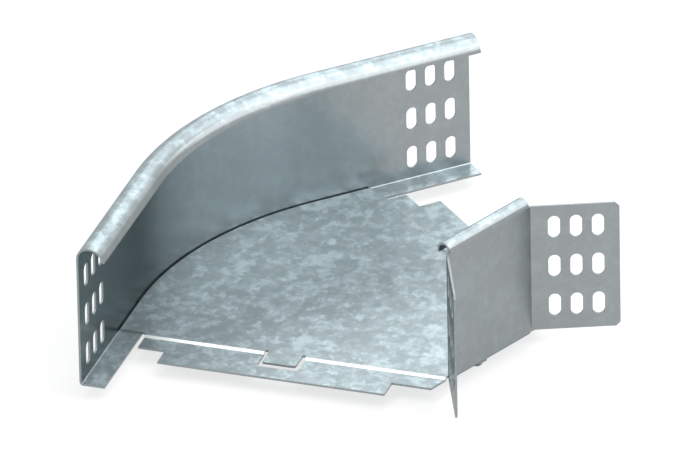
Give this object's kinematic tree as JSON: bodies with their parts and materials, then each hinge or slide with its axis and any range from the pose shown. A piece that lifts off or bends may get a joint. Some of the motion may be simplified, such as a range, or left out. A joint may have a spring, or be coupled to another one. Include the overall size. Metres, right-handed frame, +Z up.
{
  "type": "cable tray bend",
  "caption": "Horizontal 45 degree bend for a run of cable tray, of folded galvanised sheet, with slotted rail ends and stepped floor edges.",
  "frame": {"origin": "middle of the first end's width, level with the underside of the rails", "axes": "+X into the bend along its first end, +Y to the outer rail, +Z up"},
  "size_m": [0.3155, 0.2741, 0.0965],
  "materials": {
    "galvanised_sheet": "satin",
    "zinc_plated_fastener": "satin"
  },
  "bodies": {
    "root": {"outer_side_rail": "galvanised_sheet", "inner_side_rail": "galvanised_sheet", "floor_plate": "galvanised_sheet", "bolt": "zinc_plated_fastener", "nut": "zinc_plated_fastener"}
  },
  "joints": []
}
